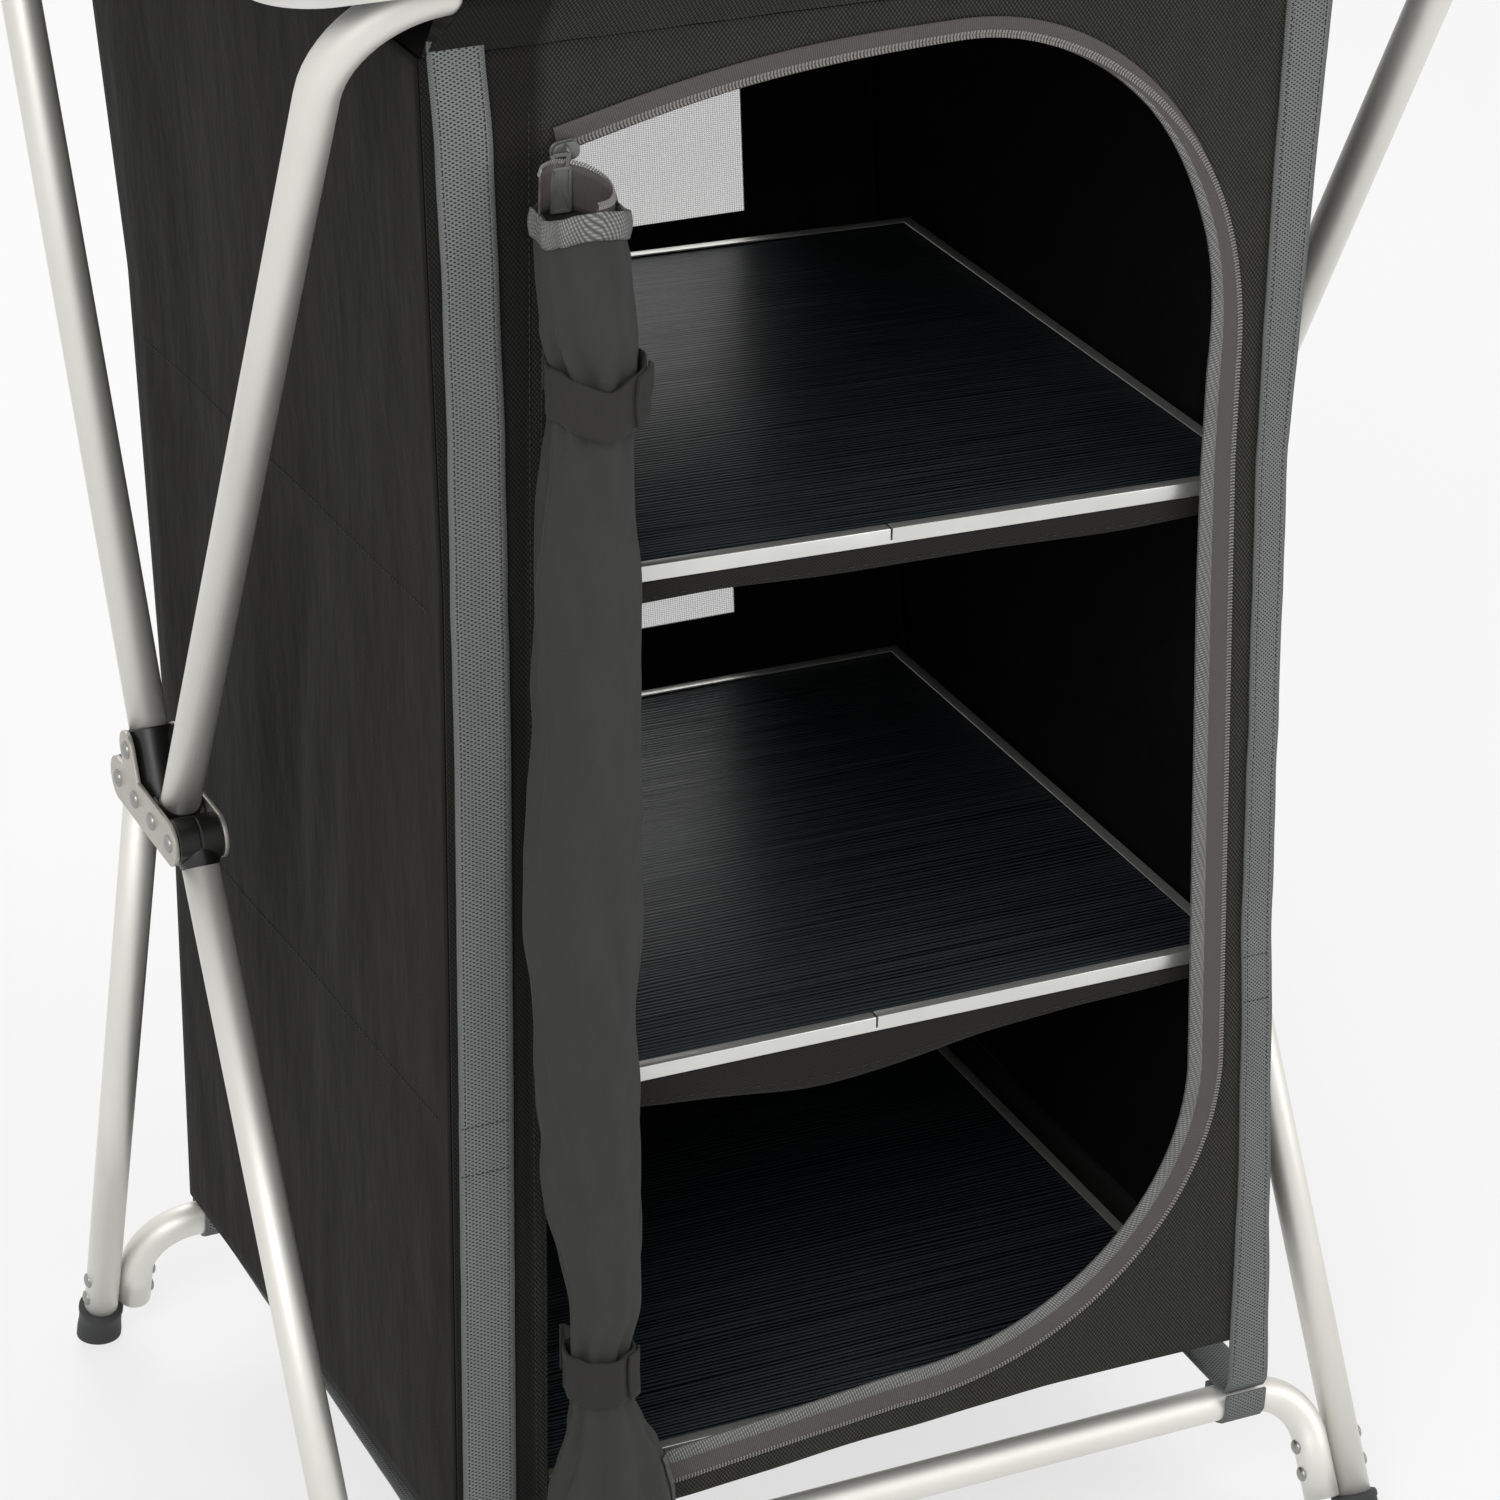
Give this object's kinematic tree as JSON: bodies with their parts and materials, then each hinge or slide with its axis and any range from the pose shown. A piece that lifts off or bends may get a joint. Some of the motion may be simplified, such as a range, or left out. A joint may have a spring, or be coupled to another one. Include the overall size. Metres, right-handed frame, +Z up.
{
  "type": "folding camping cupboard",
  "caption": "Folding camping cupboard: crossed tube frames carry a fabric box with shelves, a zipped door rolled aside and a metal-edged worktop.",
  "frame": {"origin": "on the floor, under the middle of the worktop", "axes": "+Z up, -Y towards the door side, +X to the right of someone facing the door"},
  "size_m": [0.608, 0.558, 0.8936],
  "materials": {
    "tube_metal": "satin drawn tube",
    "bracket_metal": "satin, pressed",
    "black_plastic": "moulded, slightly glossy",
    "foot_rubber": "matt",
    "cloth": "coated twill, matt",
    "door_lining": "coated twill inside, satin",
    "webbing": "coarse woven webbing",
    "zip_tape": "ribbed tape",
    "window_net": "knitted net",
    "zip_metal": "satin grey",
    "edge_metal": "bright satin edge",
    "laminate": "fine ribbed grain"
  },
  "bodies": {
    "box": {"left_panel": "cloth", "right_panel": "cloth", "front_panel": "cloth", "rear_panel": "cloth", "bottom_panel": "cloth", "top_panel": "cloth", "upper_window_net": "window_net", "middle_window_net": "window_net", "corner_webbing_left": "webbing", "corner_webbing_right": "webbing", "zip_tape": "zip_tape", "rolled_door": "door_lining", "upper_door_tie": "cloth", "lower_door_tie": "cloth"},
    "rear_upper": {"upper_rear_frame": "tube_metal", "rear_sleeve": "cloth", "bracket_inner_plate_left": "bracket_metal", "bracket_inner_plate_right": "bracket_metal", "bracket_outer_plate_left": "bracket_metal", "bracket_outer_plate_right": "bracket_metal", "bracket_sleeve_left": "black_plastic", "bracket_sleeve_right": "black_plastic"},
    "front_upper": {"upper_front_frame": "tube_metal", "front_sleeve": "cloth", "upper_front_knuckle_left": "black_plastic", "upper_front_knuckle_right": "black_plastic"},
    "front_lower": {"lower_front_leg_left": "tube_metal", "lower_front_leg_right": "tube_metal", "lower_front_crossbar": "tube_metal", "foot_front_left": "foot_rubber", "foot_front_right": "foot_rubber", "lower_front_knuckle_left": "black_plastic", "lower_front_knuckle_right": "black_plastic", "front_webbing_loop_left": "webbing", "front_webbing_loop_right": "webbing"},
    "rear_lower": {"lower_rear_leg_left": "tube_metal", "lower_rear_leg_right": "tube_metal", "lower_rear_crossbar": "tube_metal", "foot_rear_left": "foot_rubber", "foot_rear_right": "foot_rubber", "lower_rear_knuckle_left": "black_plastic", "lower_rear_knuckle_right": "black_plastic", "rear_webbing_loop_left": "webbing", "rear_webbing_loop_right": "webbing"},
    "upper_shelf": {"upper_shelf_trim": "edge_metal", "upper_shelf_left_board": "laminate", "upper_shelf_right_board": "laminate", "upper_shelf_sling": "cloth"},
    "middle_shelf": {"middle_shelf_trim": "edge_metal", "middle_shelf_left_board": "laminate", "middle_shelf_right_board": "laminate", "middle_shelf_sling": "cloth"},
    "floor_shelf": {"floor_shelf_trim": "edge_metal", "floor_shelf_left_board": "laminate", "floor_shelf_right_board": "laminate"},
    "worktop": {"worktop_board": "laminate", "worktop_rim": "edge_metal"},
    "slider": {"zip_slider": "zip_metal"},
    "pull": {"zip_pull": "zip_metal"}
  },
  "joints": [
    {"name": "frame_fold", "type": "hinge", "parent": "box", "child": "rear_upper", "pos_m": [0, 0.0125, 0.399], "axis": [1, 0, 0], "range_deg": [0, 22]},
    {"name": "front_upper_fold", "type": "hinge", "parent": "rear_upper", "child": "front_upper", "pos_m": [0, 0, 0.399], "axis": [1, 0, 0], "range_deg": [-46.5, 0]},
    {"name": "front_lower_fold", "type": "hinge", "parent": "rear_upper", "child": "front_lower", "pos_m": [0, -0.025, 0.399], "axis": [1, 0, 0], "range_deg": [0, 5.44]},
    {"name": "rear_lower_fold", "type": "hinge", "parent": "rear_upper", "child": "rear_lower", "pos_m": [0, 0.05, 0.399], "axis": [1, 0, 0], "range_deg": [-37.06, 0]},
    {"name": "upper_shelf_tilt", "type": "hinge", "parent": "box", "child": "upper_shelf", "pos_m": [0, 0.04, 0.584], "axis": [1, 0, 0], "range_deg": [-80, 0]},
    {"name": "middle_shelf_tilt", "type": "hinge", "parent": "box", "child": "middle_shelf", "pos_m": [0, 0.071, 0.337], "axis": [1, 0, 0], "range_deg": [-80, 0]},
    {"name": "floor_shelf_tilt", "type": "hinge", "parent": "rear_lower", "child": "floor_shelf", "pos_m": [0, 0.164, 0.127], "axis": [1, 0, 0], "range_deg": [-64.94, 0]},
    {"name": "worktop_lift", "type": "slide", "parent": "box", "child": "worktop", "axis": [0, 0, 1], "range_m": [0, 0.16]},
    {"name": "zip_slider_slide", "type": "slide", "parent": "box", "child": "slider", "axis": [0.9918, -0.0074, 0.128], "range_m": [0, 0.16]},
    {"name": "zip_pull_swing", "type": "hinge", "parent": "slider", "child": "pull", "pos_m": [-0.166, -0.24638, 0.79552], "axis": [1, 0, 0], "range_deg": [-120, 8]}
  ],
  "couplings": [
    {"joint": "front_upper_fold", "follows": "frame_fold", "ratio": -2.1136},
    {"joint": "front_lower_fold", "follows": "frame_fold", "ratio": 0.24726},
    {"joint": "rear_lower_fold", "follows": "frame_fold", "ratio": -1.6845},
    {"joint": "upper_shelf_tilt", "follows": "frame_fold", "ratio": -3.6364},
    {"joint": "middle_shelf_tilt", "follows": "frame_fold", "ratio": -3.6364},
    {"joint": "floor_shelf_tilt", "follows": "frame_fold", "ratio": -2.9518},
    {"joint": "worktop_lift", "follows": "frame_fold", "m_per_rad": 0.41669}
  ]
}
